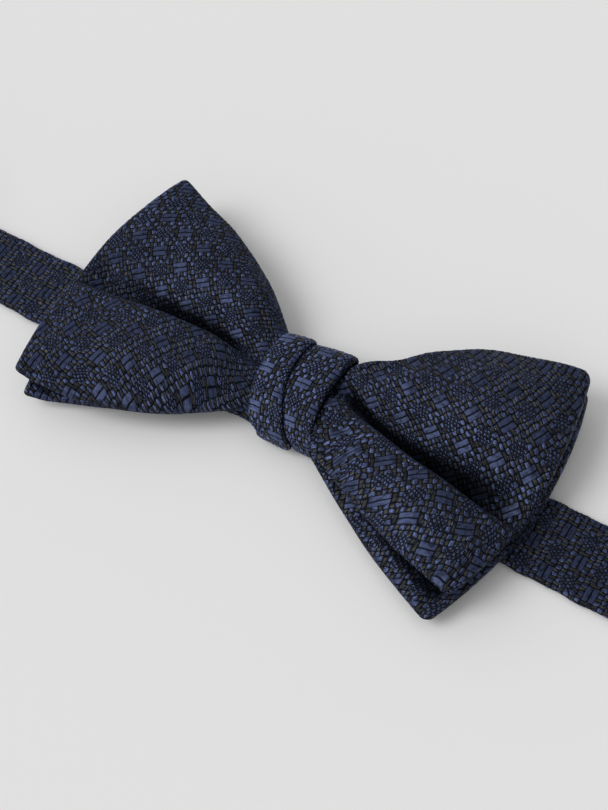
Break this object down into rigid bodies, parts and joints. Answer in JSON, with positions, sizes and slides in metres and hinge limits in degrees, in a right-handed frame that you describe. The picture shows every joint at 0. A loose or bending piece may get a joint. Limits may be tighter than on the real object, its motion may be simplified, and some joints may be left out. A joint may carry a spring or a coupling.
{
  "type": "ready-tied bow tie",
  "caption": "Navy jacquard ready-tied bow tie: two stacked padded bows, a pleated knot, and an adjustable neckband with slide, hook and eye",
  "frame": {"origin": "middle of the knot's flat back, where it rests on the shirt front or on a table", "axes": "+X along the bow and the opened neckband, towards the eye; +Y the wearer's up; +Z out of the front of the bow"},
  "size_m": [0.3983, 0.069, 0.0164],
  "materials": {
    "silk_jacquard": "figured silk weave with a soft sheen",
    "canvas": "dry woven interlining",
    "thread": "matt twisted cotton",
    "nickel": "tumbled nickel plate"
  },
  "bodies": {
    "bow": {"front_bow_shell": "silk_jacquard", "front_bow_interlining": "canvas", "rear_bow_shell": "silk_jacquard", "rear_bow_interlining": "canvas", "waist_binding_thread": "thread", "knot_band": "silk_jacquard", "knot_lining": "canvas", "knot_closing_stitch": "thread", "neckband": "silk_jacquard", "eye_fold_tack": "thread"},
    "hook_end": {"neckband_hook_loop": "silk_jacquard"},
    "slide": {"neckband_return_run": "silk_jacquard", "slide_tail_tack": "thread", "slide_frame": "nickel"},
    "hook": {"hook": "nickel"},
    "eye": {"eye": "nickel"}
  },
  "joints": [
    {"name": "neck_size", "type": "slide", "parent": "bow", "child": "hook_end", "axis": [-1, 0, 0], "range_m": [0, 0.04]},
    {"name": "slide_travel", "type": "slide", "parent": "hook_end", "child": "slide", "axis": [-1, 0, 0], "range_m": [0, 0.04]},
    {"name": "hook_swing", "type": "hinge", "parent": "hook_end", "child": "hook", "pos_m": [-0.18, -0.003, 0.0024], "axis": [0, 1, 0], "range_deg": [-45, 100]},
    {"name": "eye_swing", "type": "hinge", "parent": "bow", "child": "eye", "pos_m": [0.186, -0.003, 0.0024], "axis": [0, -1, 0], "range_deg": [-45, 100]}
  ],
  "couplings": [
    {"joint": "slide_travel", "follows": "neck_size", "ratio": 1}
  ]
}
